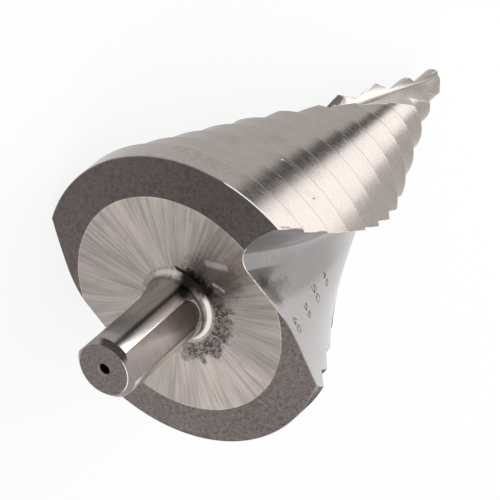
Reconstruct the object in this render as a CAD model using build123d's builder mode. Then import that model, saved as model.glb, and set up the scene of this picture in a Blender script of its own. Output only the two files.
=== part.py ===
"""Step drill with two spiral flutes, lying on a floor as it comes to rest."""
from math import cos, hypot, radians, sin, tan
import os

from build123d import *

# The drill's own axes: Z runs from shank to tip, and zero is the rear rim of the head.
# The first land's cutting edge starts on +X. All sizes are in millimetres and degrees.

# Head and its steps
head_diameter = 60.0
step_drop = 5.0
step_count = 11
pilot_diameter = 6.5
head_length = 89.5
first_rim = 4.8
pilot_length = 9.7
shoulder_angle = 45.0
point_angle = 118.0

# Lands: how far each one is ground off centre, and how far its grinding runs past the lip
least_relief = 0.9
relief_growth = 0.011
grinding_lead = 1.0

# Flutes, drawn full size at the rear rim
flute_count = 2
base_twist = 1.03
tip_tightening = 0.79
tightening_onset = 2.5
rake_hollow = 0.65
rake_length = 9.0
root_distance = 18.45
root_start = 3.26
trailing_bend = (18.15, 10.5)
heel_start = (16.5, 17.6)
pilot_web = 2.4
tip_opening = 42.0
opening_onset = 5.0
flute_stations = 11
flute_overrun = 4.0
flute_reach = 3.2

# Rear face: a ground disc, and a rim that falls away from it
disc_diameter = 43.0
disc_rise = 1.5

# Shank
shank_diameter = 12.0
shank_length = 23.6
shank_chamfer = 1.0
chamfer_crown = 0.05
shank_fillet = 1.7
flat_count = 3
flat_depth = 0.75
flat_turn = 28.0
flat_stop = 1.9
flat_end_radius = 3.4
centre_diameter = 1.9
centre_depth = 4.5
centre_sink = 0.3

# Cutting shapes run this far past the metal
overcut = 2.0

# Rest: the angle that faces down, and how far the tip dips
rest_turn = 232.24
rest_dip = 14.64

head_radius = head_diameter / 2
pilot_radius = pilot_diameter / 2
shank_radius = shank_diameter / 2
disc_radius = disc_diameter / 2
shank_end = -disc_rise - shank_length
flat_distance = shank_radius - flat_depth
rim_pitch = (head_length - first_rim - pilot_length) / (step_count - 1)

step_radii = [head_radius - step_drop / 2 * step for step in range(step_count)] + [pilot_radius]
step_rims = [first_rim + rim_pitch * step for step in range(step_count)] + [head_length]
shoulders = [
    (step_radii[step] - step_radii[step + 1]) / tan(radians(shoulder_angle))
    for step in range(step_count)
]
step_starts = [-disc_rise] + [step_rims[step] + shoulders[step] for step in range(step_count)]


def twist(height):
    """Angle of the cutting edge at a height; the lead tightens towards the tip."""
    tightening = tip_tightening * max(height / head_length, 0) ** tightening_onset
    return base_twist * height * (1 + tightening)


def across(height, turn):
    """Plane square to the drill's axis, turned with the flutes."""
    return Plane.XY.offset(height).rotated((0, 0, turn))


def relief(radius):
    return least_relief + relief_growth * radius


def land_section(height, radius, turn):
    """Both lands in section: each is an arc about a centre on the far side of the axis."""
    ground_radius = hypot(radius, relief(radius))
    with BuildSketch(across(height, turn + grinding_lead)) as section:
        with Locations((0, relief(radius))):
            Circle(ground_radius)
        with Locations((0, -relief(radius))):
            Circle(ground_radius, mode=Mode.INTERSECT)
    return section.sketch


def flute_section(height):
    """One flute in section: hollow rake face, round root, trailing face up to the heel.

    Towards the tip the trailing face leans back about the root, which opens the flute.
    """
    size = 1 + height / head_length * (pilot_web / 2 / root_distance - 1)
    opening = tip_opening * max(height / head_length, 0) ** opening_onset
    lip = Vector(head_radius, 0) * size
    hollow = Vector(head_radius - rake_length / 2, -rake_hollow) * size
    rake_end = Vector(head_radius - rake_length, 0) * size
    root = Vector(root_distance, root_start) * size
    bend = root + (Vector(*trailing_bend) * size - root).rotate(Axis.Z, opening)
    heel_end = root + (Vector(*heel_start) * size - root).rotate(Axis.Z, opening)
    reach = head_radius * flute_reach * size
    outside = Vector(reach, 0)
    with BuildSketch(across(height, twist(height))) as section:
        with BuildLine():
            Line(outside, lip)
            rake = ThreePointArc(lip, hollow, rake_end)
            TangentArc(rake_end, root, tangent=rake % 1)
            floor = Line(root, bend)
            heel = TangentArc(bend, heel_end, tangent=floor % 1)
            beyond = Line(heel @ 1, heel @ 1 + (heel % 1) * reach)
            Polyline(beyond @ 1, (0, reach), outside)
        make_face()
    return section.sketch


with BuildPart() as steps:
    for radius, start, rim in zip(step_radii, step_starts, step_rims):
        extrude(land_section(start, radius, twist(rim)), amount=rim - start)
    for step in range(step_count):
        rim = step_rims[step]
        next_rim = step_rims[step + 1]
        lower = land_section(rim, step_radii[step], twist(rim))
        upper = land_section(step_starts[step + 1], step_radii[step + 1], twist(next_rim))
        loft([lower, upper], ruled=True)

with BuildPart() as flute:
    spacing = (head_length + 2 * flute_overrun) / (flute_stations - 1)
    heights = [station * spacing - flute_overrun for station in range(flute_stations)]
    loft([flute_section(height) for height in heights])

with BuildPart() as turned_away:
    # metal outside the drill point, and outside the rear face with its sloping rim
    with BuildSketch(Plane.XZ):
        clear = head_radius + overcut
        point_foot = head_length - clear / tan(radians(point_angle / 2))
        with BuildLine():
            Polyline((0, head_length), (clear, point_foot), (clear, head_length), close=True)
        make_face()
        with BuildLine():
            Polyline((disc_radius, -disc_rise), (head_radius, 0), (clear, 0), (clear, -disc_rise), close=True)
        make_face()
    revolve(axis=Axis.Z)

with BuildPart() as flat_cutter:
    # a flat runs from the shank's end to a round stop near the head
    with BuildSketch(Plane(origin=(flat_distance, 0, 0), x_dir=(0, 0, 1), z_dir=(1, 0, 0))):
        stop_centre = -disc_rise - flat_stop - flat_end_radius
        with Locations((stop_centre, 0)):
            Circle(flat_end_radius)
            flat_run = stop_centre - shank_end + overcut
            Rectangle(flat_run, 2 * flat_end_radius, align=(Align.MAX, Align.CENTER))
    extrude(amount=shank_radius)

with BuildPart() as shank:
    with BuildSketch(Plane.XZ):
        with BuildLine():
            end_face = Line((0, shank_end), (shank_radius - shank_chamfer, shank_end))
            side_start = (shank_radius, shank_end + shank_chamfer)
            bevel = SagittaArc(end_face @ 1, side_start, -chamfer_crown)
            side = Line(bevel @ 1, (shank_radius, -disc_rise - shank_fillet))
            flare = TangentArc(side @ 1, (shank_radius + shank_fillet, -disc_rise), tangent=side % 1)
            Polyline(flare @ 1, (0, -disc_rise), (0, shank_end))
        make_face()
    revolve(axis=Axis.Z)
    with PolarLocations(0, flat_count, start_angle=flat_turn):
        add(flat_cutter.part, mode=Mode.SUBTRACT)
    with Locations(Plane(origin=(0, 0, shank_end), z_dir=(0, 0, -1))):
        CounterSinkHole(centre_diameter / 2, centre_diameter / 2 + centre_sink, centre_depth)

with BuildPart() as drill:
    add(steps.part)
    add(turned_away.part, mode=Mode.SUBTRACT)
    with PolarLocations(0, flute_count):
        add(flute.part, mode=Mode.SUBTRACT)
    add(shank.part)

# At rest the drill lies over one flute, on the heel at the rear rim and on two step corners.
dip = radians(rest_dip)
turn = radians(rest_turn)
ahead = Vector(cos(dip), 0, -sin(dip))
down = Vector(-sin(dip), 0, -cos(dip))
land_direction = down * cos(turn) - ahead.cross(down) * sin(turn)
resting = Plane(origin=(0, 0, 0), x_dir=land_direction, z_dir=ahead)

with BuildPart(resting) as lying:
    add(drill.part)

box = lying.part.bounding_box()
with BuildPart() as step_drill:
    with Locations((-box.center().X, -box.center().Y, -box.min.Z)):
        add(lying.part)

step_drill.part.label = "step_drill"
os.makedirs("parts", exist_ok=True)
export_step(step_drill.part, "parts/step_drill.step")
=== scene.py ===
"""Looks for the step drill: ground and polished steel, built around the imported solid."""

import bmesh
import bpy
from math import atan2, ceil, cos, hypot, pi, radians, sin, sqrt, tan
from mathutils import Matrix, Vector, bvhtree
from mathutils.geometry import delaunay_2d_cdt


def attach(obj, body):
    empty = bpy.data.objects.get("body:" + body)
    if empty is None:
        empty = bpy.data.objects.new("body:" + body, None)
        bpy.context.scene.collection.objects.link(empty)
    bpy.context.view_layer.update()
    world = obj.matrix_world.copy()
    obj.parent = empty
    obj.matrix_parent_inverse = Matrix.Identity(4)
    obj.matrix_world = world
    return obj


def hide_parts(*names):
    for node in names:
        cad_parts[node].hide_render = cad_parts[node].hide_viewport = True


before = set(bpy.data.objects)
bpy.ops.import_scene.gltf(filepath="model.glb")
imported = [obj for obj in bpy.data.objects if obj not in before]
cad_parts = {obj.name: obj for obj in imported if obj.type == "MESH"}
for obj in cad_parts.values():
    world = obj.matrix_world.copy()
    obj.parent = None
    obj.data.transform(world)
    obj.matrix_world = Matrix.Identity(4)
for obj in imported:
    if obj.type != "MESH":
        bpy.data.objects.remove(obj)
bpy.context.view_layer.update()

# The drill's own axes: Z from shank to tip, zero at the head's rear rim, X through the first lip.
# Its sizes are in millimetres, and twists and land turns are in degrees.
MM = 0.001
REST_TURN = radians(232.24)
REST_DIP = radians(14.64)
DRILL_ZERO = Vector((-30.5227, 0.0, 27.5752))
ahead = Vector((cos(REST_DIP), 0, -sin(REST_DIP)))
down = Vector((-sin(REST_DIP), 0, -cos(REST_DIP)))
across_x = down * cos(REST_TURN) - ahead.cross(down) * sin(REST_TURN)
across_y = ahead.cross(across_x)
AXES = Matrix((across_x, across_y, ahead)).transposed()
PLACE = Matrix.Translation(DRILL_ZERO * MM) @ AXES.to_4x4()

# Camera: its turn and shift from the drill's axes, and its focal length in the photo's pixels
CAMERA_TURN = Vector((-2.5108, -0.8599, -1.0278))
CAMERA_SHIFT = Vector((-11.8876, -8.9403, -737.797))
FOCAL_PIXELS = 4159.13
PHOTO_PIXELS = 500
SENSOR_WIDTH = 36
CLIP_RANGE = (0.05, 20)

# Head
HEAD_LENGTH = 89.5
HEAD_RADIUS = 30.0
PILOT_RADIUS = 3.25
STEP_COUNT = 11
STEP_DROP = 2.5
FIRST_RIM = 4.8
RIM_PITCH = 7.5
RIMS = [FIRST_RIM + RIM_PITCH * step for step in range(STEP_COUNT)]
RADII = [HEAD_RADIUS - STEP_DROP * step for step in range(STEP_COUNT)] + [PILOT_RADIUS]
STARTS = [0.0] + [RIMS[step] + RADII[step] - RADII[step + 1] for step in range(STEP_COUNT)]
RIMS.append(HEAD_LENGTH)
GRINDING_LEAD = 1.0
DISC_RADIUS = 21.5
DISC_RISE = 1.5
POINT_HALF = radians(59)
POINT_FOOT = HEAD_LENGTH - PILOT_RADIUS / tan(POINT_HALF)

# Twist in degrees a millimetre; its growth and the flute's opening set in towards the tip
BASE_TWIST = 1.03
TIP_TIGHTENING = 0.79
TIGHTENING_ONSET = 2.5
TIP_OPENING = 42
OPENING_ONSET = 5

# How far off centre the lands are ground, at no radius and for each millimetre of it
LEAST_RELIEF = 0.9
RELIEF_GROWTH = 0.011

# Widths of the worn edges; those along the flutes are narrower on steps of a small radius
SHOULDER_EDGE = 0.09
LIP_EDGE = 0.17
HEEL_EDGE = 0.1
REAR_EDGE = 0.13
NARROWING_RADIUS = 10

# Flute in section, at full size
PILOT_WEB = 2.4
LIP = Vector((HEAD_RADIUS, 0.0))
RAKE_MIDDLE = Vector((25.5, -0.65))
RAKE_END = Vector((21.0, 0.0))
ROOT_DISTANCE = 18.45
ROOT = Vector((ROOT_DISTANCE, 3.26))
BEND = Vector((18.15, 10.5))
HEEL_START = Vector((16.5, 17.6))
FLUTE_REACH = 3.2
PAST_HEEL = 60

# Points along the half outline of a section: RAKE to TRAILING are the flute's own curves, FRONT
# and BACK the points taken on them. The heel is point HEEL_AT of HALF points.
RAKE_STEPS = 14
CURL_STEPS = 18
FLOOR_STEPS = 8
TRAILING_STEPS = 12
FRONT_STEPS = 20
BACK_STEPS = 30
LAND_STEPS = 64
HEEL_AT = FRONT_STEPS + CURL_STEPS + BACK_STEPS
HALF = HEEL_AT + LAND_STEPS + 2
HALVINGS = 36
LEAST_SHARE = 0.2
TINY = 1e-9

# Rings along the drill
RING_SPACING = 0.8
LEAST_RINGS = 3
SHOULDER_PARTS = (0.33, 0.67)
POINT_RINGS = 10

# Rear face: circles of points as radius and number, and their distance from the outline
REAR_CIRCLES = ((9, 96), (11, 96), (14, 120), (17.5, 144), (DISC_RADIUS, 260), (24, 240),
                (27, 240), (28.6, 260))
REAR_CLEARANCE = 0.35
MERGE_DISTANCE = 1e-6
INSIDE_FLARE = 0.9996
ON_DISC_RIM = 0.02

# Shank; the end's profile is given as radius and height above the end
SHANK_RADIUS = 6.0
SHANK_END = -25.1
SHANK_CHAMFER = 1.0
END_PROFILE = ((0.0, 4.5), (0.95, 4.5), (0.95, 0.35), (1.25, 0), (2.2, 0), (3.6, 0), (5.0, 0),
               (5.52, 0.48), (6.0, 1.0))
FLARE_RADIUS = 7.7
FLARE_FOOT = -3.2
WALL_RINGS = 8
FLARE_STEPS = 12
AROUND = 144
CAP_HEIGHT = 2.0
FLAT_COUNT = 3
FLAT_DISTANCE = 5.25
FLAT_TURN = 28.0
STOP_CENTRE = -6.8
STOP_RADIUS = 3.4
STOP_STEPS = 24
OVERCUT = 2
SHANK_EDGE = 0.06
EDGE_TOP = -3.3
EDGE_ANGLE = radians(22)
SHARP_ANGLE = radians(24)
CUT_WELD_TOP = -3.0
CUT_WELD = 0.004
SEAM_BAND = 0.01
SEAM_WELD = 0.002

# Engraved sizes of the first steps: a point near the trailing face, text, share of DIGIT_SIZE
NUMBERS = (
    ((16.4, 15.4, 2.1), "60", 1.2),
    ((13.7, 15.1, 9.0), "55", 1.12),
    ((11.6, 14.0, 15.35), "50", 1.4),
    ((9.5, 13.4, 21.8), "45", 1.1),
)
DIGIT_SIZE = 2.15
DIGIT_WIDTH = 1.35
DIGIT_DEPTH = 0.12
DIGIT_WELD = 0.0005

# Surroundings, in metres
OBJECT_MIDDLE = Vector((0, 0, 0.035))
CARD_LIFT = 0.0005
FLOOR_REACH = 4
FLOOR_SIDES = ((-1, -1), (1, -1), (1, 1), (-1, 1))
FLOOR_COLOR = (0.8, 0.8, 0.8, 1)
FLOOR_WHITE = 0.85

# Material slots of the drill
LAND, FLUTE, REAR, SHANK, WORN, ENGRAVED = range(6)


def add_camera():
    """The camera that was fitted to the photo."""
    to_camera = Matrix.Rotation(CAMERA_TURN.length, 3, CAMERA_TURN.normalized())
    eye = -(to_camera.transposed() @ CAMERA_SHIFT)
    camera = bpy.data.objects.new("camera", bpy.data.cameras.new("camera"))
    in_drill = Matrix.Translation(eye * MM) @ to_camera.transposed().to_4x4()
    camera.matrix_world = PLACE @ in_drill
    camera.data.sensor_width = SENSOR_WIDTH
    camera.data.lens = FOCAL_PIXELS / PHOTO_PIXELS * SENSOR_WIDTH
    camera.data.clip_start, camera.data.clip_end = CLIP_RANGE
    bpy.context.scene.collection.objects.link(camera)
    bpy.context.scene.camera = camera


def twist(z):
    """Angle of the cutting edge at a height; the lead tightens towards the tip."""
    tightening = TIP_TIGHTENING * max(z / HEAD_LENGTH, 0) ** TIGHTENING_ONSET
    return BASE_TWIST * z * (1 + tightening)


def opening(z):
    """How far the trailing face leans back about the root; it opens the flute near the tip."""
    return radians(TIP_OPENING) * max(z / HEAD_LENGTH, 0) ** OPENING_ONSET


def size_at(z):
    """Share of the flute's full size at a height."""
    return 1 + z / HEAD_LENGTH * (PILOT_WEB / 2 / ROOT_DISTANCE - 1)


def relief(radius):
    """How far off centre a land is ground."""
    return LEAST_RELIEF + RELIEF_GROWTH * radius


def rear_height(radius):
    """Height of the rear face: a flat disc, and a ring that falls away from it."""
    return -DISC_RISE * (1 - max(0.0, radius - DISC_RADIUS) / (HEAD_RADIUS - DISC_RADIUS))


def turned(point, angle):
    """The point turned about the axis."""
    return Vector((point.x * cos(angle) - point.y * sin(angle),
                   point.x * sin(angle) + point.y * cos(angle)))


def arc_points(start, tangent, end, count):
    """Points on the arc that leaves start along tangent and ends at end."""
    chord = end - start
    tangent = tangent.normalized()
    bend = tangent.x * chord.y - tangent.y * chord.x
    turn = 2 * atan2(bend, tangent.dot(chord))
    points = []
    for step in range(count + 1):
        part = step / count
        length = chord.length * sin(turn * part / 2) / sin(turn / 2)
        heading = atan2(tangent.y, tangent.x) + turn * part / 2
        points.append(start + Vector((cos(heading), sin(heading))) * length)
    return points


def arc_through(a, b, c, count):
    """Points on the arc through three points, and its direction at the last one."""
    d = 2 * (a.x * (b.y - c.y) + b.x * (c.y - a.y) + c.x * (a.y - b.y))
    aa, bb, cc = a.length_squared, b.length_squared, c.length_squared
    centre = Vector(((aa * (b.y - c.y) + bb * (c.y - a.y) + cc * (a.y - b.y)) / d,
                     (aa * (c.x - b.x) + bb * (a.x - c.x) + cc * (b.x - a.x)) / d))
    first = a - centre
    last = c - centre
    sweep = atan2(first.x * last.y - first.y * last.x, first.dot(last))
    points = [centre + turned(first, sweep * step / count) for step in range(count + 1)]
    tangent = Vector((-last.y, last.x)) * (1 if sweep > 0 else -1)
    return points, tangent


rake, rake_tangent = arc_through(LIP, RAKE_MIDDLE, RAKE_END, RAKE_STEPS)
CURL = arc_points(RAKE_END, rake_tangent, ROOT, CURL_STEPS)
FRONT_PATH = rake[::-1] + [LIP * FLUTE_REACH]


def land_radius(local_angle, radius):
    """Radius of the land at an angle from its own lip plane."""
    drop = relief(radius)
    ground = hypot(radius, drop)
    return -drop * abs(sin(local_angle)) + sqrt(ground ** 2 - (drop * cos(local_angle)) ** 2)


def back_path(z):
    """Full-size points of the flute's floor and trailing face, from the root outwards."""
    swing = opening(z)
    bend = ROOT + turned(BEND - ROOT, swing)
    heel = ROOT + turned(HEEL_START - ROOT, swing)
    floor = [ROOT.lerp(bend, step / FLOOR_STEPS) for step in range(FLOOR_STEPS + 1)]
    arc = arc_points(bend, bend - ROOT, heel, TRAILING_STEPS)
    way = (arc[-1] - arc[-2]).normalized()
    return floor + arc[1:] + [arc[-1] + way * PAST_HEEL]


def run_inside(path, size, radius, off):
    """The path's points from its first one to where it leaves the land."""
    def leaves(p):
        return p.length > land_radius(atan2(p.y, p.x) + off, radius)

    run = [path[0] * size]
    for p in path[1:]:
        if leaves(p * size):
            low, high = run[-1], p * size
            for _ in range(HALVINGS):
                middle = (low + high) / 2
                if leaves(middle):
                    high = middle
                else:
                    low = middle
            run.append(low)
            break
        run.append(p * size)
    return run


def spaced(run, count, short):
    """Even points along a run that stops short of its end."""
    lengths = [(b - a).length for a, b in zip(run, run[1:])]
    whole = max(sum(lengths) - short, LEAST_SHARE * sum(lengths))
    points, passed, at = [run[0]], 0.0, 0
    for step in range(1, count + 1):
        goal = whole * step / count
        while at < len(lengths) - 1 and passed + lengths[at] < goal:
            passed += lengths[at]
            at += 1
        points.append(run[at].lerp(run[at + 1], (goal - passed) / max(lengths[at], TINY)))
    return points


def half_outline(z, radius, land_turn):
    """Half of a section: from a lip into the flute, out to the heel, along the land to a lip."""
    size = size_at(z)
    turn = radians(twist(z))
    off = turn - radians(land_turn)
    narrowing = min(1.0, radius / NARROWING_RADIUS)
    front = run_inside(FRONT_PATH, size, radius, off)
    back = run_inside(back_path(z), size, radius, off)
    points = spaced(front, FRONT_STEPS, LIP_EDGE * narrowing)[::-1]
    points += [p * size for p in CURL[1:]]
    points += spaced(back, BACK_STEPS, HEEL_EDGE * narrowing)[1:]
    first = atan2(back[-1].y, back[-1].x) + HEEL_EDGE * narrowing / radius
    last = pi - LIP_EDGE * narrowing / radius
    for step in range(LAND_STEPS + 1):
        angle = first + (last - first) * step / LAND_STEPS
        r = land_radius(angle + off, radius)
        points.append(Vector((cos(angle) * r, sin(angle) * r)))
    return [turned(p, turn) for p in points]


def both_halves(half):
    """The whole outline: the half, and the half turned by half a turn."""
    return [turned(p, pi * side) for side in range(2) for p in half]


def levels():
    """Heights of the rings, each with its land's radius and turn, and whether it is sharp."""
    rows = []
    for step, (radius, start, rim) in enumerate(zip(RADII, STARTS, RIMS)):
        turn = twist(rim) + GRINDING_LEAD
        if step == STEP_COUNT:
            rim = POINT_FOOT
        count = max(LEAST_RINGS, ceil((rim - start) / RING_SPACING))
        for part in range(count + 1):
            # the lowest ring of all is the rear rim, which build_head makes
            if step > 0 or part > 0:
                z = start + (rim - SHOULDER_EDGE - start) * part / count
                rows.append((z, radius, turn, part == 0))
        if step < STEP_COUNT:
            next_radius = RADII[step + 1]
            next_turn = twist(RIMS[step + 1]) + GRINDING_LEAD
            rows.append((rim + SHOULDER_EDGE, radius - SHOULDER_EDGE, turn, False))
            for part in SHOULDER_PARTS:
                rows.append((rim + (STARTS[step + 1] - rim) * part,
                             radius + (next_radius - radius) * part,
                             turn + (next_turn - turn) * part, False))
    return rows


def face_slot(place):
    """Material slot of the face after a point of the half outline."""
    if place < HEEL_AT:
        return FLUTE
    return WORN if place in (HEEL_AT, HALF - 1) else LAND


def make_sharp(mesh, a, b):
    """Marks the edge between two vertices as sharp."""
    mesh.edges.get((a, b)).smooth = False


def build_head():
    """The head in rings of points, from the rear rim to the drill point."""
    mesh = bmesh.new()
    rear_turn = twist(RIMS[0]) + GRINDING_LEAD
    rear_half = [
        half_outline(rear_height(p.length) + REAR_EDGE, HEAD_RADIUS, rear_turn)[place]
        for place, p in enumerate(half_outline(0.0, HEAD_RADIUS, rear_turn))
    ]
    outline = both_halves(rear_half)
    rear_ring = []
    for before, p, after in zip(outline[-1:] + outline, outline, outline[1:] + outline[:1]):
        way = (after - before).normalized()
        q = p + Vector((-way.y, way.x)) * REAR_EDGE
        rear_ring.append(mesh.verts.new((q.x, q.y, rear_height(q.length))))
    rows = [[mesh.verts.new((p.x, p.y, rear_height(p.length) + REAR_EDGE)) for p in outline]]
    sharp_rows = {0}
    for z, radius, turn, sharp in levels():
        if sharp:
            sharp_rows.add(len(rows))
        ring = both_halves(half_outline(z, radius, turn))
        rows.append([mesh.verts.new((*p, z)) for p in ring])

    # drill point: rings clipped to the cone
    tip_turn = twist(HEAD_LENGTH) + GRINDING_LEAD
    sharp_rows.add(len(rows))
    for number in range(POINT_RINGS):
        z = POINT_FOOT + (HEAD_LENGTH - POINT_FOOT) * (number / POINT_RINGS)
        limit = (HEAD_LENGTH - z) * tan(POINT_HALF)
        ring = [p.normalized() * limit if p.length > limit else p
                for p in both_halves(half_outline(z, PILOT_RADIUS, tip_turn))]
        rows.append([mesh.verts.new((*p, z)) for p in ring])

    count = 2 * HALF
    for lower, upper in zip(rows, rows[1:]):
        for i in range(count):
            j = (i + 1) % count
            face = mesh.faces.new((lower[i], lower[j], upper[j], upper[i]))
            face.material_index = face_slot(i % HALF)
    tip = mesh.verts.new((0, 0, HEAD_LENGTH))
    for i in range(count):
        j = (i + 1) % count
        mesh.faces.new((rows[-1][i], rows[-1][j], tip))
        face = mesh.faces.new((rear_ring[i], rear_ring[j], rows[0][j], rows[0][i]))
        face.material_index = WORN

    for number, ring in enumerate(rows):
        for i in range(count):
            place = i % HALF
            if number in sharp_rows and (number == 0 or place > HEEL_AT):
                make_sharp(mesh, ring[i], ring[(i + 1) % count])
            if number + 1 < len(rows) and place in (0, HEEL_AT, HEEL_AT + 1, HALF - 1):
                make_sharp(mesh, ring[i], rows[number + 1][i])
    for i in range(count):
        make_sharp(mesh, rear_ring[i], rear_ring[(i + 1) % count])
    add_rear_face(mesh, rear_ring)
    return mesh


def round_axis(number):
    """Even angles round the axis."""
    return [2 * pi * i / number for i in range(number)]


def on_circle(radius, number):
    return [Vector((cos(angle), sin(angle))) * radius for angle in round_axis(number)]


def is_inside(p, corners):
    """Whether a point lies in a polygon."""
    hit = False
    for a, b in zip(corners, corners[1:] + corners[:1]):
        crosses = (a.y > p.y) != (b.y > p.y)
        if crosses and p.x < (b.x - a.x) * (p.y - a.y) / (b.y - a.y) + a.x:
            hit = not hit
    return hit


def add_rear_face(mesh, outline):
    """Fills the rear face between the outline and the shank's flare."""
    corners = [Vector((v.co.x, v.co.y)) for v in outline]
    rim = len(corners)
    points = corners + on_circle(FLARE_RADIUS, AROUND)
    edges = [(i, (i + 1) % rim) for i in range(rim)]
    edges += [(rim + i, rim + (i + 1) % AROUND) for i in range(AROUND)]
    for radius, number in REAR_CIRCLES:
        for p in on_circle(radius, number):
            if is_inside(p, corners) and all((p - q).length > REAR_CLEARANCE for q in corners):
                points.append(p)
    cdt = delaunay_2d_cdt(points, edges, [], 1, MERGE_DISTANCE)
    out_points, _, out_faces, origin, _, _ = cdt
    made = []
    for p, source in zip(out_points, origin):
        if source and source[0] < rim:
            made.append(outline[source[0]])
        else:
            made.append(mesh.verts.new((p.x, p.y, rear_height(p.length))))
    for f in out_faces:
        middle = sum((out_points[i] for i in f), Vector((0, 0))) / len(f)
        if middle.length < FLARE_RADIUS * INSIDE_FLARE or not is_inside(middle, corners):
            continue
        face = mesh.faces.new([made[i] for i in reversed(f)])
        face.material_index = REAR
        for edge in face.edges:
            if all(abs(v.co.xy.length - DISC_RADIUS) < ON_DISC_RIM for v in edge.verts):
                edge.smooth = False


def make_object(name, mesh, materials=()):
    """An object in metres from a mesh in millimetres."""
    data = bpy.data.meshes.new(name)
    bmesh.ops.scale(mesh, vec=(MM, MM, MM), verts=mesh.verts)
    mesh.to_mesh(data)
    mesh.free()
    for material in materials:
        data.materials.append(material)
    obj = bpy.data.objects.new(name, data)
    bpy.context.scene.collection.objects.link(obj)
    return obj


def build_shank():
    """The round shank with its flare, chamfer and centre hole, closed by a cap."""
    mesh = bmesh.new()
    flare = FLARE_RADIUS - SHANK_RADIUS
    profile = [(radius, SHANK_END + height) for radius, height in END_PROFILE]
    for part in range(1, WALL_RINGS + 1):
        rise = (FLARE_FOOT - SHANK_END - SHANK_CHAMFER) * part / WALL_RINGS
        profile.append((SHANK_RADIUS, SHANK_END + SHANK_CHAMFER + rise))
    for step in range(1, FLARE_STEPS + 1):
        angle = pi / 2 * step / FLARE_STEPS
        profile.append((SHANK_RADIUS + flare * (1 - cos(angle)),
                        -DISC_RISE - flare + flare * sin(angle)))
    profile.append((0.0, CAP_HEIGHT))
    rings = []
    for radius, z in profile:
        angles = round_axis(AROUND) if radius else [0]
        rings.append([mesh.verts.new((radius * cos(a), radius * sin(a), z)) for a in angles])
    for low, high in zip(rings, rings[1:]):
        for i in range(AROUND):
            j = (i + 1) % AROUND
            if len(low) == 1:
                mesh.faces.new((low[0], high[j], high[i]))
            elif len(high) == 1:
                mesh.faces.new((low[i], high[0], low[j]))
            else:
                mesh.faces.new((low[i], high[i], high[j], low[j]))
    bmesh.ops.recalc_face_normals(mesh, faces=mesh.faces)
    return mesh


def flat_cutter():
    """One slot-shaped block that grinds a flat with a round end."""
    foot = SHANK_END - OVERCUT
    outline = [Vector((foot, -STOP_RADIUS)), Vector((foot, STOP_RADIUS))]
    for step in range(STOP_STEPS + 1):
        angle = pi / 2 - pi * step / STOP_STEPS
        outline.append(Vector((STOP_CENTRE + STOP_RADIUS * cos(angle), STOP_RADIUS * sin(angle))))
    mesh = bmesh.new()
    low = [mesh.verts.new((FLAT_DISTANCE, p.y, p.x)) for p in outline]
    high = [mesh.verts.new((SHANK_RADIUS + OVERCUT, p.y, p.x)) for p in outline]
    mesh.faces.new(low)
    mesh.faces.new(high)
    for i in range(len(low)):
        j = (i + 1) % len(low)
        mesh.faces.new((low[i], low[j], high[j], high[i]))
    bmesh.ops.recalc_face_normals(mesh, faces=mesh.faces)
    return mesh


def subtract(obj, cutters, solver):
    """Cuts the cutters out of the object's mesh and removes them."""
    for cutter in cutters:
        cut = obj.modifiers.new("cut", "BOOLEAN")
        cut.operation = "DIFFERENCE"
        cut.object = cutter
        cut.solver = solver
    bpy.context.view_layer.update()
    view = bpy.context.evaluated_depsgraph_get()
    data = bpy.data.meshes.new_from_object(obj.evaluated_get(view))
    obj.modifiers.clear()
    obj.data = data
    for cutter in cutters:
        bpy.data.objects.remove(cutter)


def turns(edge, angle):
    """Whether the edge's two faces meet at more than angle."""
    return len(edge.link_faces) == 2 and edge.calc_face_angle(0) > angle


def make_shank():
    """The shank with its flats and worn edges, open at the top."""
    shank = make_object("shank", build_shank())
    cutters = []
    for number in range(FLAT_COUNT):
        cutter = make_object("cutter", flat_cutter())
        turn = radians(FLAT_TURN + 360 / FLAT_COUNT * number)
        cutter.matrix_world = Matrix.Rotation(turn, 4, "Z")
        cutters.append(cutter)
    subtract(shank, cutters, "EXACT")
    mesh = bmesh.new()
    mesh.from_mesh(shank.data)
    cap = [v for v in mesh.verts if v.co.z > 0]
    bmesh.ops.delete(mesh, geom=cap, context="VERTS")
    cut_part = [v for v in mesh.verts if v.co.z < CUT_WELD_TOP * MM]
    bmesh.ops.remove_doubles(mesh, verts=cut_part, dist=CUT_WELD * MM)
    for face in mesh.faces:
        face.material_index = SHANK
    edges = [e for e in mesh.edges
             if turns(e, EDGE_ANGLE) and all(v.co.z < EDGE_TOP * MM for v in e.verts)]
    bmesh.ops.bevel(mesh, geom=edges, offset=SHANK_EDGE * MM, offset_type="OFFSET", segments=2,
                    profile=0.5, affect="EDGES", clamp_overlap=False, material=SHANK)
    mesh.to_mesh(shank.data)
    mesh.free()
    return shank


def weld(head, shank):
    """Joins the shank to the head along the circle where the flare meets the rear face."""
    mesh = bmesh.new()
    mesh.from_mesh(head.data)
    mesh.from_mesh(shank.data)
    band = SEAM_BAND * MM
    seam = [v for v in mesh.verts if abs(v.co.xy.length - FLARE_RADIUS * MM) < band
            and abs(v.co.z + DISC_RISE * MM) < band]
    bmesh.ops.remove_doubles(mesh, verts=seam, dist=SEAM_WELD * MM)
    bmesh.ops.recalc_face_normals(mesh, faces=mesh.faces)
    mesh.to_mesh(head.data)
    mesh.free()
    bpy.data.objects.remove(shank)


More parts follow.
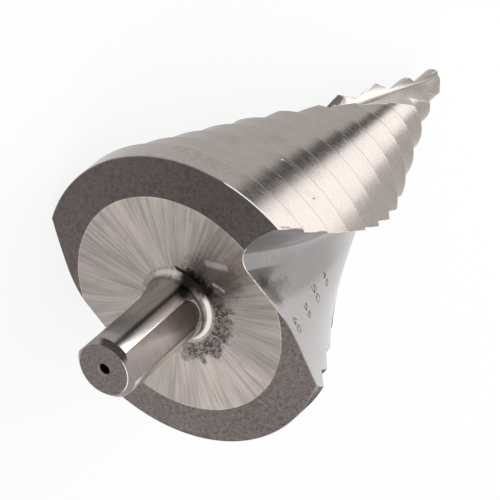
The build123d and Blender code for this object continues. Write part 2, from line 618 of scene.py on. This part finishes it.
def number_cutter(tree, place, text, larger):
    """Letters that stand half sunk in the trailing face, upright towards the tip."""
    hit, normal, _, _ = tree.find_nearest(Vector(place) * MM)
    up = (Vector((0, 0, 1)) - normal * normal.z).normalized()
    right = up.cross(normal)
    curve = bpy.data.curves.new("number_" + text, "FONT")
    curve.body = text
    curve.size = DIGIT_SIZE * larger * MM
    curve.extrude = DIGIT_DEPTH * MM
    curve.align_x = "CENTER"
    curve.align_y = "CENTER"
    letters = bpy.data.objects.new("number_" + text, curve)
    bpy.context.scene.collection.objects.link(letters)
    bpy.context.view_layer.update()
    view = bpy.context.evaluated_depsgraph_get()
    data = bpy.data.meshes.new_from_object(letters.evaluated_get(view))
    bpy.data.objects.remove(letters)
    turn = Matrix((right * DIGIT_WIDTH, up, normal)).transposed().to_4x4()
    data.transform(Matrix.Translation(hit) @ turn)
    solid = bmesh.new()
    solid.from_mesh(data)
    bmesh.ops.remove_doubles(solid, verts=solid.verts, dist=DIGIT_WELD * MM)
    bmesh.ops.recalc_face_normals(solid, faces=solid.faces)
    for face in solid.faces:
        face.material_index = ENGRAVED
    solid.to_mesh(data)
    solid.free()
    data.materials.clear()
    cutter = bpy.data.objects.new("cutter_" + text, data)
    bpy.context.scene.collection.objects.link(cutter)
    return cutter


def engrave(obj):
    """Cuts the numbers into the trailing face of the first flute."""
    tree = bvhtree.BVHTree.FromObject(obj, bpy.context.evaluated_depsgraph_get())
    cutters = [number_cutter(tree, place, text, larger) for place, text, larger in NUMBERS]
    for cutter in cutters:
        for material in obj.data.materials:
            cutter.data.materials.append(material)
    subtract(obj, cutters, "MANIFOLD")


def sharpen(obj, angle):
    """Marks the edges that turn more than angle as sharp, on top of those already marked."""
    mesh = bmesh.new()
    mesh.from_mesh(obj.data)
    for edge in mesh.edges:
        if turns(edge, angle):
            edge.smooth = False
    for face in mesh.faces:
        face.smooth = True
    mesh.to_mesh(obj.data)
    mesh.free()


# Steel tints: how far red and blue lie from green
LAND_TINT = (1.105, 0.93)
FLUTE_TINT = (1.045, 0.985)
DISC_TINT = (1.135, 0.925)
RING_TINT = (1.165, 0.95)
SHANK_TINT = (1.15, 0.915)
CREAM = (1.085, 0.935)

# Marks, and strokes of painted light and shade: a stroke's start and end on the surface, its full
# and faded width, tone and strength
# Painted shade on the flare at the shank's root and on the disc and shank beside it
PAINTED_ROOT_SHADE = ((6.5, -2.6, -1.7), (7.9, 1.0, -1.6), 0.8, 2.6, 0.012, 0.96)
DARK_NICK = ((5.6, -5.45, -1.5), (6.4, -3.9, -1.5), 0.22, 0.5, 0.015, 0.95)
LAND_MARKS_AND_PAINTED_LIGHT = (
    ((24.60, 0.2, 16.8), (24.6, 0.3, 17.1), 0.08, 0.25, 0.08, 0.8),
    ((22.68, -8.49, 18.87), (23.5, -6.2, 19.28), 0.04, 0.13, 0.75, 0.8),
    ((22.66, -8.55, 18.8), (22.72, -8.4, 18.9), 0.12, 0.25, 0.9, 1.0),
    ((29.87, 0.0, 0.8), (29.86, 0.9, 2.2), 0.12, 0.35, 0.13, 0.75),
    # Painted light: the heel land near the rear made lighter
    ((10.8, 26.8, 0.2), (7.9, 27.8, 4.5), 1.3, 3.2, 0.66, 0.95),
    ((26.9, -12.9, 10.4), (27.4, -11.7, 10.3), 0.05, 0.14, 0.7, 0.6),
    ((27.6, -11.6, 0.3), (27.9, -10.9, 0.3), 0.10, 0.3, 0.03, 0.9),
)
FLUTE_MARKS_AND_PAINTED_LIGHT = (
    # Painted shade: the dark wedge along the flute's root
    ((18.0, 6.4, 0.4), (17.8, 9.0, 1.0), 0.5, 3.0, 0.07, 0.8),
    ((18.1, 7.5, 2.0), (17.0, 8.6, 8.0), 0.4, 2.0, 0.11, 0.65),
    # Painted shade darkening the rake face
    ((23.5, 0.2, 1.0), (22.5, 2.4, 6.5), 1.5, 5.0, 0.17, 0.45),
    ((-0.7, -9.7, 62.4), (-0.2, -9.2, 64.4), 0.5, 1.8, 0.05, 0.95),
    # Painted highlight: a light streak on the rake face
    ((29.0, 0.2, 3.0), (24.0, 3.0, 9.0), 0.1, 1.2, 0.62, 0.4),
)
DISC_MARKS_AND_PAINTED_LIGHT = (
    # Painted shade: the shank's dark reflection and shadow on the disc
    ((9.8, -2.2, -1.5), (13.0, 1.5, -1.5), 0.9, 5.4, 0.09, 0.66),
    PAINTED_ROOT_SHADE,
    # Painted highlight: a bright reflection spot on the disc
    ((12.4, -2.7, -1.5), (15.0, -0.3, -1.5), 0.25, 0.95, 0.6, 0.75),
    ((10.2, 0.9, -1.5), (10.5, 1.5, -1.5), 0.1, 0.5, 0.8, 0.9),
    ((10.8, 2.0, -1.5), (11.1, 2.8, -1.5), 0.0, 0.45, 0.8, 0.9),
    DARK_NICK,
    ((16.0, -8.0, -1.5), (19.0, -9.6, -1.5), 0.02, 0.12, 0.6, 0.5),
    ((3.0, 16.0, -1.5), (4.2, 19.5, -1.5), 0.03, 0.2, 0.7, 0.6),
)
SHANK_MARKS_AND_PAINTED_SHADE = (
    PAINTED_ROOT_SHADE,
    # Painted shade on the shank's wall by the root
    ((6.0, -2.4, -2.2), (6.0, -1.2, -4.6), 0.5, 2.2, 0.012, 0.93),
    DARK_NICK,
)

# Places in the materials: where a fade begins and ends, or an arc's two ends and its fade.
# SIZE_SLOPE is how the flute's size changes a millimetre, as size_at gives it.
SIZE_SLOPE = -0.01045
ROOT_SHADE_RADII = (20.2, 21.3)
ROOT_SHADE_HEIGHTS = (24, 40)
FAR_HEIGHTS = (40, 50)
PILOT_HEIGHTS = (74, 81)
PATCH_RADII = (10.3, 11.9)
PATCH_ARC = (0.06, 0.375, 0.035)
SPECKLED_MIDDLE = 0.27
SPECKLED_REACH = (0.2, 0.32)
RING_START = (DISC_RADIUS - 0.03, DISC_RADIUS + 0.05)
BORDER_INSIDE = (DISC_RADIUS - 0.22, DISC_RADIUS - 0.1)
BORDER_OUTSIDE = (DISC_RADIUS + 0.02, DISC_RADIUS + 0.1)
WALL_RADII = (5.955, 5.985)
HIGHLIGHT_BAND_FROM = (-0.05, -0.008)
HIGHLIGHT_BAND_TO = (0.09, 0.12)
DARK_REFLECTION_ARC = (-0.073, -0.05, 0.009)
CHAMFER_TOP = (SHANK_END + 0.95, SHANK_END + 1.02)
CHAMFER_RADII = (4.98, 5.02)
CHAMFER_SHADE_ARC = (-0.14, 0.03, 0.02)
COLLAR_HEIGHTS = (-3.2, -3.05)
COLLAR_HIGHLIGHT_INSIDE = (6.3, 6.55)
COLLAR_HIGHLIGHT_OUTSIDE = (7.0, 7.25)
COLLAR_RIGHT_HIGHLIGHT = (0.03, 0.30, 0.025)
COLLAR_LEFT_HIGHLIGHT = (-0.235, -0.105, 0.025)
END_HEIGHTS = (SHANK_END + 0.02, SHANK_END + 0.06)
END_RIM_INSIDE = (4.85, 4.95)
END_RIM_OUTSIDE = (5.02, 5.1)
END_RIM_HEIGHTS = (SHANK_END + 0.1, SHANK_END + 0.2)
END_RIM_HIGHLIGHT_ARC = (0.03, 0.24, 0.03)
HOLE_RADII = (1.32, 1.28)
HOLE_HEIGHTS = (SHANK_END + 0.02, SHANK_END + 0.5)
REAR_RIM_RADII = (21.6, 22.6)
REAR_RIM_HEIGHTS = (0.3, 0.55)

# Painted light and shade round the axis, for the disc and the dark rim: share of a turn, value up
# to WEDGE_TOP
DISC_PAINTED_LIGHT = ((-0.5, 1.15), (-0.32, 0.9), (-0.2, 1.35), (-0.05, 1.0),
               (0.16, 0.95), (0.3, 1.6), (0.42, 1.15), (0.5, 1.15))
RING_PAINTED_LIGHT = ((-0.5, 1.9), (-0.36, 1.15), (-0.15, 1.0), (-0.02, 0.66),
               (0.14, 2.0), (0.27, 1.55), (0.4, 1.9), (0.5, 1.9))
WEDGE_TOP = 2.5

# Depth of the bumps, in metres
FINE_DEPTH = 0.00002
PIT_DEPTH = 0.00004

# Sockets of the Mix node for colours
MIX_FACTOR, MIX_A, MIX_B, MIX_RESULT = 0, 6, 7, 2


def tone(value, tint=LAND_TINT):
    """A steel tone, with the tint of one of the surfaces."""
    return (value * tint[0], value, value * tint[1], 1)


class Nodes:
    """Short calls for building a material's node tree."""

    def __init__(self, name):
        self.material = bpy.data.materials.new(name)
        self.material.use_nodes = True
        self.tree = self.material.node_tree
        self.shader = self.tree.nodes["Principled BSDF"]

    def add(self, kind, **settings):
        node = self.tree.nodes.new(kind)
        for name, value in settings.items():
            setattr(node, name, value)
        return node

    def link(self, source, target):
        self.tree.links.new(source, target)

    def put(self, value, socket):
        """Links a socket to another, or gives it a number, vector or colour."""
        if isinstance(value, bpy.types.NodeSocket):
            self.link(value, socket)
        elif value is not None:
            plain = isinstance(value, (int, float)) and socket.type == "RGBA"
            socket.default_value = (value, value, value, 1) if plain else value

    def math(self, operation, a, b=None, c=None, clamp=False):
        node = self.add("ShaderNodeMath", operation=operation, use_clamp=clamp)
        for value, socket in zip((a, b, c), node.inputs):
            self.put(value, socket)
        return node.outputs[0]

    def times(self, a, b):
        return self.math("MULTIPLY", a, b)

    def vector(self, operation, a, b=None):
        node = self.add("ShaderNodeVectorMath", operation=operation)
        self.put(a, node.inputs[0])
        self.put(b, node.inputs[1])
        return node.outputs["Value" if operation in ("DOT_PRODUCT", "LENGTH") else "Vector"]

    def scaled(self, a, factor):
        """A vector or colour times a number."""
        node = self.add("ShaderNodeVectorMath", operation="SCALE")
        self.put(a, node.inputs[0])
        self.put(factor, node.inputs["Scale"])
        return node.outputs[0]

    def position(self):
        """Millimetres in the drill's own axes."""
        node = self.add("ShaderNodeMapping")
        self.put(self.add("ShaderNodeTexCoord").outputs["Object"], node.inputs["Vector"])
        self.put((1 / MM, 1 / MM, 1 / MM), node.inputs["Scale"])
        self.put(AXES.transposed().to_euler("XYZ"), node.inputs["Rotation"])
        self.put(-(AXES.transposed() @ DRILL_ZERO), node.inputs["Location"])
        return node.outputs[0]

    def polar(self):
        """Position, with its radius, angle in turns and height in the drill's own axes."""
        where = self.position()
        parts = self.add("ShaderNodeSeparateXYZ")
        self.put(where, parts.inputs[0])
        x, y, z = parts.outputs
        radius = self.math("SQRT", self.math("ADD", self.times(x, x), self.times(y, y)))
        angle = self.math("DIVIDE", self.math("ARCTAN2", y, x), 2 * pi)
        return where, radius, angle, z

    def noise(self, vector, scale, detail, rough):
        node = self.add("ShaderNodeTexNoise")
        self.put(vector, node.inputs["Vector"])
        self.put(scale, node.inputs["Scale"])
        self.put(detail, node.inputs["Detail"])
        self.put(rough, node.inputs["Roughness"])
        return node.outputs[0]

    def streaks(self, x, y, z, detail, rough):
        """Noise over three numbers, each plain or given as a socket and its scale."""
        node = self.add("ShaderNodeCombineXYZ")
        for part, socket in zip((x, y, z), node.inputs):
            self.put(self.times(*part) if isinstance(part, tuple) else part, socket)
        return self.noise(node.outputs[0], 1, detail, rough)

    def ramp(self, value, low, high, out_low=0.0, out_high=1.0):
        """A smooth step from out_low at low to out_high at high."""
        node = self.add("ShaderNodeMapRange", interpolation_type="SMOOTHSTEP")
        self.put(value, node.inputs["Value"])
        self.put(low, node.inputs["From Min"])
        self.put(high, node.inputs["From Max"])
        self.put(out_low, node.inputs["To Min"])
        self.put(out_high, node.inputs["To Max"])
        return node.outputs[0]

    def arc_share(self, angle, first, last, fade):
        """1 between two angles, in turns, with soft ends."""
        opens = self.ramp(angle, first - fade, first + fade)
        closes = self.ramp(angle, last - fade, last + fade, 1, 0)
        return self.times(opens, closes)

    def painted_light_round(self, angle, stops):
        """Painted light and shade round the axis, through stops of angle in turns and value."""
        node = self.add("ShaderNodeValToRGB")
        node.color_ramp.interpolation = "B_SPLINE"
        self.put(self.math("ADD", angle, 0.5), node.inputs[0])
        marks = node.color_ramp.elements
        while len(marks) < len(stops):
            marks.new(0.5)
        for mark, (place, value) in zip(marks, stops):
            mark.position = place + 0.5
            mark.color = (value / WEDGE_TOP, value / WEDGE_TOP, value / WEDGE_TOP, 1)
        return self.scaled(node.outputs[0], WEDGE_TOP)

    def mix(self, factor, a, b, blend="MIX"):
        node = self.add("ShaderNodeMix", data_type="RGBA", blend_type=blend)
        self.put(factor, node.inputs[MIX_FACTOR])
        self.put(a, node.inputs[MIX_A])
        self.put(b, node.inputs[MIX_B])
        return node.outputs[MIX_RESULT]

    def over(self, base, cover, value, tint=LAND_TINT):
        """The colour with a steel tone laid over it where cover is 1."""
        return self.mix(cover, base, tone(value, tint))

    def shaded(self, base, brightness):
        """The colour times a brightness."""
        return self.mix(1.0, base, brightness, "MULTIPLY")

    def stroke(self, start, end, near, far, ragged=0.0):
        """1 within near of the line from start to end, fading to 0 at far, in millimetres."""
        where = self.position()
        way = Vector(end) - Vector(start)
        offset = self.vector("SUBTRACT", where, start)
        along = self.vector("DOT_PRODUCT", offset, way / way.length_squared)
        along = self.math("MULTIPLY", along, 1.0, clamp=True)
        nearest = self.scaled(way, along)
        distance = self.vector("LENGTH", self.vector("SUBTRACT", offset, nearest))
        if ragged:
            rough = self.math("SUBTRACT", self.noise(where, 1.2, 4, 0.65), 0.5)
            distance = self.math("ADD", distance, self.times(rough, ragged))
        return self.ramp(distance, near, far, 1, 0)

    def marked(self, base, marks, tint, ragged=0.0):
        """The colour with each mark and each stroke of painted light and shade drawn over it."""
        for start, end, near, far, value, share in marks:
            cover = self.times(self.stroke(start, end, near, far, ragged * far), share)
            base = self.over(base, cover, value, tint)
        return base

    def bump(self, height, strength, distance):
        node = self.add("ShaderNodeBump")
        self.put(height, node.inputs["Height"])
        self.put(strength, node.inputs["Strength"])
        self.put(distance, node.inputs["Distance"])
        self.link(node.outputs[0], self.shader.inputs["Normal"])

    def metal(self, color, roughness):
        """Makes the shader bare metal and returns the material."""
        self.put(color, self.shader.inputs["Base Color"])
        self.put(1, self.shader.inputs["Metallic"])
        self.put(roughness, self.shader.inputs["Roughness"])
        return self.material


def land_material():
    """Brushed along the turning direction, with a stain at the rear, a few nicks, and painted
    light on the heel land.
    """
    n = Nodes("ground_land")
    where, radius, angle, z = n.polar()
    grain = n.streaks((angle, 90), (radius, 0.4), (z, 8), 3, 0.65)
    lines = n.streaks((angle, 7), 0, (z, 12), 3, 0.6)
    clouds = n.noise(where, 0.22, 4, 0.6)
    grit = n.noise(where, 3.6, 3, 0.65)
    base = n.mix(n.ramp(grain, 0.3, 0.7), tone(0.295), tone(0.36))
    base = n.over(base, n.ramp(lines, 0.58, 0.72, 0, 0.4), 0.25)
    base = n.over(base, n.ramp(clouds, 0.52, 0.72, 0, 0.4), 0.26, SHANK_TINT)
    ragged = n.ramp(n.noise(where, 1.1, 4, 0.65), 0.45, 0.62)
    stain = n.times(n.stroke((20.0, -21.0, 3.6), (25.5, -14.5, 2.6), 0.4, 3.0), ragged)
    base = n.over(base, n.times(stain, 0.35), 0.17, RING_TINT)
    base = n.over(base, n.ramp(grit, 0.56, 0.68, 0, 0.3), 0.22, SHANK_TINT)
    base = n.marked(base, LAND_MARKS_AND_PAINTED_LIGHT, LAND_TINT)
    n.bump(n.math("ADD", grain, n.times(lines, 0.5)), 0.25, FINE_DEPTH)
    return n.metal(base, n.ramp(grain, 0.2, 0.8, 0.17, 0.27))


def flute_material():
    """Polished; painted shade deep in the flute near its root, creamy and rougher towards the
    tip.
    """
    n = Nodes("polished_flute")
    where, radius, angle, z = n.polar()
    waves = n.noise(where, 0.13, 2, 0.5)
    fine = n.streaks((angle, 16), (radius, 1.3), (z, 0.5), 4, 0.6)
    specks = n.noise(where, 1.3, 3, 0.55)
    base = n.mix(waves, tone(0.37, FLUTE_TINT), tone(0.47, FLUTE_TINT))
    base = n.over(base, n.ramp(fine, 0.55, 0.75, 0, 0.35), 0.34)
    base = n.over(base, n.ramp(specks, 0.68, 0.74, 0, 0.6), 0.2)
    full_size = n.math("DIVIDE", radius, n.math("MULTIPLY_ADD", z, SIZE_SLOPE, 1.0))
    # painted shade deep in the flute, near the root and the rear
    root_shade = n.times(n.ramp(full_size, *ROOT_SHADE_RADII, 1, 0), n.ramp(z, *ROOT_SHADE_HEIGHTS, 0.3, 0))
    base = n.over(base, root_shade, 0.02, FLUTE_TINT)
    far = n.ramp(z, *FAR_HEIGHTS)
    far_part = n.mix(n.ramp(fine, 0.3, 0.7), tone(0.43, CREAM), tone(0.48, CREAM))
    base = n.mix(far, base, far_part)
    base = n.over(base, n.ramp(z, *PILOT_HEIGHTS, 0, 0.85), 0.27)
    base = n.marked(base, FLUTE_MARKS_AND_PAINTED_LIGHT, LAND_TINT, 1.2)
    n.bump(fine, 0.12, FINE_DEPTH)
    return n.metal(base, n.mix(far, n.ramp(waves, 0.3, 0.7, 0.13, 0.2), 0.4))


def disc_color(n, where, angle, fine, broad, pits, patch):
    """The ground disc: streaks from the axis outwards, and a pitted patch by the shank."""
    blotch = n.noise(where, 0.35, 3, 0.6)
    disc = n.mix(n.ramp(fine, 0.3, 0.7), tone(0.25, DISC_TINT), tone(0.38, DISC_TINT))
    disc = n.over(disc, n.ramp(broad, 0.50, 0.62, 0, 0.4), 0.44, DISC_TINT)
    disc = n.over(disc, n.ramp(broad, 0.44, 0.36, 0, 0.35), 0.23, DISC_TINT)
    disc = n.over(disc, n.ramp(blotch, 0.5, 0.75, 0, 0.3), 0.25, DISC_TINT)
    # painted sheen and shade: brighter and darker sectors round the axis
    disc = n.shaded(disc, n.painted_light_round(angle, DISC_PAINTED_LIGHT))
    pitted = n.mix(n.ramp(pits, 0.42, 0.55), tone(0.03, RING_TINT), tone(0.095, RING_TINT))
    disc = n.mix(n.times(patch, 0.9), disc, pitted)
    glint = n.times(n.ramp(n.noise(where, 2.6, 2, 0.5), 0.66, 0.7), patch)
    disc = n.over(disc, n.times(glint, 0.9), 0.8, CREAM)
    return n.marked(disc, DISC_MARKS_AND_PAINTED_LIGHT, DISC_TINT, 1.5)


def ring_color(n, where, angle, mottle):
    """The dark rim: mottled all round, and speckled on the side that the camera sees below."""
    grit = n.noise(where, 4.2, 3, 0.65)
    from_middle = n.math("ABSOLUTE", n.math("SUBTRACT", angle, SPECKLED_MIDDLE))
    speckled = n.ramp(from_middle, *SPECKLED_REACH, 1, 0.4)
    ring = n.mix(n.ramp(mottle, 0.32, 0.68), tone(0.098, RING_TINT), tone(0.132, RING_TINT))
    for spots, value in (
        (n.ramp(mottle, 0.5, 0.38, 0, 0.5), 0.07),
        (n.ramp(grit, 0.56, 0.64, 0, 0.85), 0.055),
        (n.ramp(grit, 0.40, 0.33, 0, 0.8), 0.24),
    ):
        ring = n.over(ring, n.times(spots, speckled), value, RING_TINT)
    # painted light and shade: brighter and darker sides round the axis
    return n.shaded(ring, n.painted_light_round(angle, RING_PAINTED_LIGHT))


def rear_material():
    """The rear face: its ground disc, the dark rim, and a bright line where they meet."""
    n = Nodes("ground_rear_face")
    where, radius, angle, _ = n.polar()
    fine = n.streaks((angle, 190), (radius, 0.07), 0, 3, 0.6)
    broad = n.streaks((angle, 30), (radius, 0.05), 4, 3, 0.55)
    pits = n.noise(where, 1.7, 3, 0.6)
    wander = n.times(n.math("SUBTRACT", n.noise(where, 0.5, 4, 0.65), 0.5), 7.5)
    ragged = n.math("ADD", radius, wander)
    patch = n.times(n.ramp(ragged, *PATCH_RADII, 1, 0), n.arc_share(angle, *PATCH_ARC))
    patch = n.times(patch, n.ramp(pits, 0.44, 0.58, 1, 0.68))
    mottle = n.noise(where, 1.3, 4, 0.62)
    disc = disc_color(n, where, angle, fine, broad, pits, patch)
    ring = ring_color(n, where, angle, mottle)
    on_ring = n.ramp(radius, *RING_START)
    base = n.mix(on_ring, disc, ring)
    border = n.times(n.ramp(radius, *BORDER_INSIDE), n.ramp(radius, *BORDER_OUTSIDE, 1, 0))
    border = n.times(border, n.ramp(broad, 0.4, 0.65, 0.1, 0.6))
    base = n.over(base, border, 0.6, DISC_TINT)
    disc_height = n.mix(patch, fine, n.times(pits, 4))
    n.bump(n.mix(on_ring, disc_height, n.times(mottle, 2)), 0.35, PIT_DEPTH)
    return n.metal(base, n.ramp(on_ring, 0, 1, 0.38, 0.62))


def shank_material():
    """The shank by its parts: round wall, flats, chamfer, collar at the root, and end face."""
    n = Nodes("ground_shank")
    where, radius, angle, z = n.polar()
    cross = n.streaks((angle, 1.5), 0, (z, 5.5), 4, 0.65)
    along = n.streaks((angle, 60), 0, (z, 0.25), 2, 0.5)
    clouds = n.noise(where, 0.5, 3, 0.6)
    grit = n.noise(where, 2.4, 3, 0.6)

    # round wall: darker towards the end, a painted highlight band, and a painted dark reflection
    # line beside it
    painted_highlight_band = n.times(n.ramp(angle, *HIGHLIGHT_BAND_FROM), n.ramp(angle, *HIGHLIGHT_BAND_TO, 1, 0.5))
    wall = n.mix(n.ramp(along, 0.35, 0.65), tone(0.40, FLUTE_TINT), tone(0.46, FLUTE_TINT))
    wall = n.shaded(wall, n.ramp(z, -25, -13, 0.6, 1.0))
    wall = n.over(wall, painted_highlight_band, 0.88, CREAM)
    painted_dark_reflection = n.times(n.arc_share(angle, *DARK_REFLECTION_ARC), 0.9)
    wall = n.over(wall, painted_dark_reflection, 0.04, SHANK_TINT)

    # flats, with painted shade that darkens them towards the root
    flat = n.ramp(radius, *WALL_RADII, 1, 0)
    flat_part = n.mix(n.ramp(cross, 0.3, 0.7), tone(0.235, SHANK_TINT), tone(0.33, SHANK_TINT))
    flat_part = n.over(flat_part, n.ramp(clouds, 0.5, 0.75, 0, 0.5), 0.2, RING_TINT)
    flat_part = n.shaded(flat_part, n.ramp(z, -13, -5, 0.86, 0.5))

    # chamfer, with painted shade on one side
    chamfer = n.times(n.ramp(z, *CHAMFER_TOP, 1, 0), n.ramp(radius, *CHAMFER_RADII))
    chamfer_shade = n.mix(grit, tone(0.025), tone(0.08))
    in_shade_arc = n.arc_share(angle, *CHAMFER_SHADE_ARC)
    chamfer_part = n.mix(in_shade_arc, tone(0.25, SHANK_TINT), chamfer_shade)

    # collar: the flare at the root, with painted light and shade round the axis and painted
    # highlights on two sides
    collar = n.ramp(z, *COLLAR_HEIGHTS)
    collar_highlights = n.times(n.ramp(radius, *COLLAR_HIGHLIGHT_INSIDE), n.ramp(radius, *COLLAR_HIGHLIGHT_OUTSIDE, 1, 0))
    right_highlight = n.arc_share(angle, *COLLAR_RIGHT_HIGHLIGHT)
    left_highlight = n.arc_share(angle, *COLLAR_LEFT_HIGHLIGHT)
    collar_highlights = n.times(collar_highlights, n.math("MULTIPLY_ADD", left_highlight, 0.33, right_highlight))
    collar_part = n.mix(n.ramp(along, 0.35, 0.65), tone(0.2, DISC_TINT), tone(0.3, DISC_TINT))
    collar_part = n.shaded(collar_part, n.painted_light_round(angle, DISC_PAINTED_LIGHT))
    collar_part = n.over(collar_part, collar_highlights, 0.78, CREAM)

    # end face
    end = n.ramp(z, *END_HEIGHTS, 1, 0)
    end_part = n.mix(n.ramp(grit, 0.32, 0.68), tone(0.125, RING_TINT), tone(0.205, RING_TINT))

    base = n.mix(flat, wall, flat_part)
    base = n.mix(chamfer, base, chamfer_part)
    base = n.mix(collar, base, collar_part)
    base = n.mix(end, base, end_part)
    # painted highlight on one side of the end's rim
    rim_highlight = n.times(n.ramp(radius, *END_RIM_INSIDE), n.ramp(radius, *END_RIM_OUTSIDE, 1, 0))
    rim_highlight = n.times(rim_highlight, n.arc_share(angle, *END_RIM_HIGHLIGHT_ARC))
    rim_highlight = n.times(rim_highlight, n.ramp(z, *END_RIM_HEIGHTS, 1, 0))
    base = n.over(base, rim_highlight, 0.9, CREAM)
    # painted shade in the centre hole
    hole = n.times(n.ramp(radius, *HOLE_RADII), n.ramp(z, *HOLE_HEIGHTS))
    base = n.over(base, n.times(hole, 0.97), 0.02, SHANK_TINT)
    base = n.marked(base, SHANK_MARKS_AND_PAINTED_SHADE, SHANK_TINT, 0.5)
    n.bump(n.mix(flat, n.times(along, 0.3), cross), 0.25, FINE_DEPTH)
    return n.metal(base, n.mix(end, n.mix(flat, n.mix(collar, 0.26, 0.3), 0.3), 0.45))


def edge_material():
    """The worn edges: bright, nicked, and dark round most of the rear rim."""
    n = Nodes("worn_edge")
    where, radius, _, z = n.polar()
    worn = n.noise(where, 0.4, 4, 0.65)
    nicks = n.noise(where, 2.2, 3, 0.6)
    rim = n.times(n.ramp(radius, *REAR_RIM_RADII), n.ramp(z, *REAR_RIM_HEIGHTS, 1, 0))
    base = n.mix(n.ramp(worn, 0.4, 0.62), tone(0.42, CREAM), tone(0.92, CREAM))
    base = n.over(base, n.times(rim, 0.85), 0.17, RING_TINT)
    bright_end = n.stroke((29.9, 0.0, 0.0), (27.7, -11.2, 0.0), 0.7, 2.0)
    base = n.over(base, bright_end, 0.95, CREAM)
    base = n.over(base, n.ramp(nicks, 0.62, 0.68, 0, 0.8), 0.07, RING_TINT)
    return n.metal(base, 0.3)


def engraved_material():
    """The floor and walls of the numbers."""
    n = Nodes("engraved_line")
    worn = n.noise(n.position(), 1.6, 3, 0.6)
    return n.metal(n.mix(n.ramp(worn, 0.3, 0.7), tone(0.13), tone(0.2)), 0.5)


def panel(name, corners, color):
    """A matt quad of the surroundings, and its nodes."""
    mesh = bpy.data.meshes.new(name)
    mesh.from_pydata([Vector(c) for c in corners], [], [(0, 1, 2, 3)])
    obj = bpy.data.objects.new(name, mesh)
    bpy.context.scene.collection.objects.link(obj)
    n = Nodes(name)
    n.put(color, n.shader.inputs["Base Color"])
    n.put(1.0, n.shader.inputs["Roughness"])
    n.put(0.0, n.shader.inputs["Specular IOR Level"])
    mesh.materials.append(n.material)
    return obj, n


def add_white(n, share):
    """The camera and reflections see a share of plain white over the floor's own shading."""
    path = n.add("ShaderNodeLightPath")
    seen = n.math("MAXIMUM", path.outputs["Is Camera Ray"], path.outputs["Is Glossy Ray"])
    white = n.add("ShaderNodeEmission")
    blend = n.add("ShaderNodeMixShader")
    n.link(n.times(seen, share), blend.inputs[0])
    n.link(n.shader.outputs[0], blend.inputs[1])
    n.link(white.outputs[0], blend.inputs[2])
    n.link(blend.outputs[0], n.tree.nodes["Material Output"].inputs["Surface"])


def toward(azimuth, elevation):
    """Direction from the object, by angles in degrees."""
    a, e = radians(azimuth), radians(elevation)
    return Vector((cos(a) * cos(e), sin(a) * cos(e), sin(e)))


def dark_card(name, azimuth, spread, near, far, top, value):
    """A card that lies on the floor and stands up at its far end; only reflections show it."""
    left, right = toward(azimuth + spread, 0), toward(azimuth - spread, 0)
    lift = Vector((0, 0, CARD_LIFT))
    up = Vector((0, 0, top))
    lying = (left * near + lift, right * near + lift, right * far + lift, left * far + lift)
    standing = (left * far, right * far, right * far + up, left * far + up)
    for part, corners in (("_lying", lying), ("_standing", standing)):
        card, _ = panel(name + part, corners, (value, value, value, 1))
        card.visible_camera = False
        card.visible_diffuse = False
        card.visible_transmission = False
        card.visible_shadow = False


def softbox(name, azimuth, elevation, distance, size, radiance):
    """A rectangular lamp that faces the object."""
    lamp = bpy.data.objects.new(name, bpy.data.lights.new(name, "AREA"))
    lamp.data.shape = "RECTANGLE"
    lamp.data.size, lamp.data.size_y = size
    lamp.data.energy = radiance * pi * size[0] * size[1]
    lamp.location = OBJECT_MIDDLE + toward(azimuth, elevation) * distance
    lamp.rotation_euler = (-toward(azimuth, elevation)).to_track_quat("-Z", "Y").to_euler()
    bpy.context.scene.collection.objects.link(lamp)


# The piece, in the order of its material slots
materials = [land_material(), flute_material(), rear_material(), shank_material(),
             edge_material(), engraved_material()]
head = make_object("drill_body", build_head(), materials)
weld(head, make_shank())
engrave(head)
sharpen(head, SHARP_ANGLE)
head.data.transform(PLACE)
bpy.context.view_layer.update()
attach(head, "root")
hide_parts("step_drill")

# Camera, floor and light
add_camera()
floor_corners = [(x * FLOOR_REACH, y * FLOOR_REACH, 0) for x, y in FLOOR_SIDES]
_, floor_nodes = panel("floor", floor_corners, FLOOR_COLOR)
add_white(floor_nodes, FLOOR_WHITE)
softbox("large_softbox", azimuth=47, elevation=29, distance=0.75, size=(0.8, 0.75), radiance=1.8)
dark_card("flag", azimuth=46, spread=12, near=0.125, far=0.45, top=0.0345, value=0.02)
dark_card("side_flag", azimuth=-57, spread=8, near=0.062, far=0.30, top=0.02, value=0.06)
world = bpy.data.worlds.new("studio")
bpy.context.scene.world = world
world.use_nodes = True
world.node_tree.nodes["Background"].inputs["Color"].default_value = (1, 1, 1, 1)
world.node_tree.nodes["Background"].inputs["Strength"].default_value = 1.0
bpy.context.scene.view_settings.view_transform = "Standard"
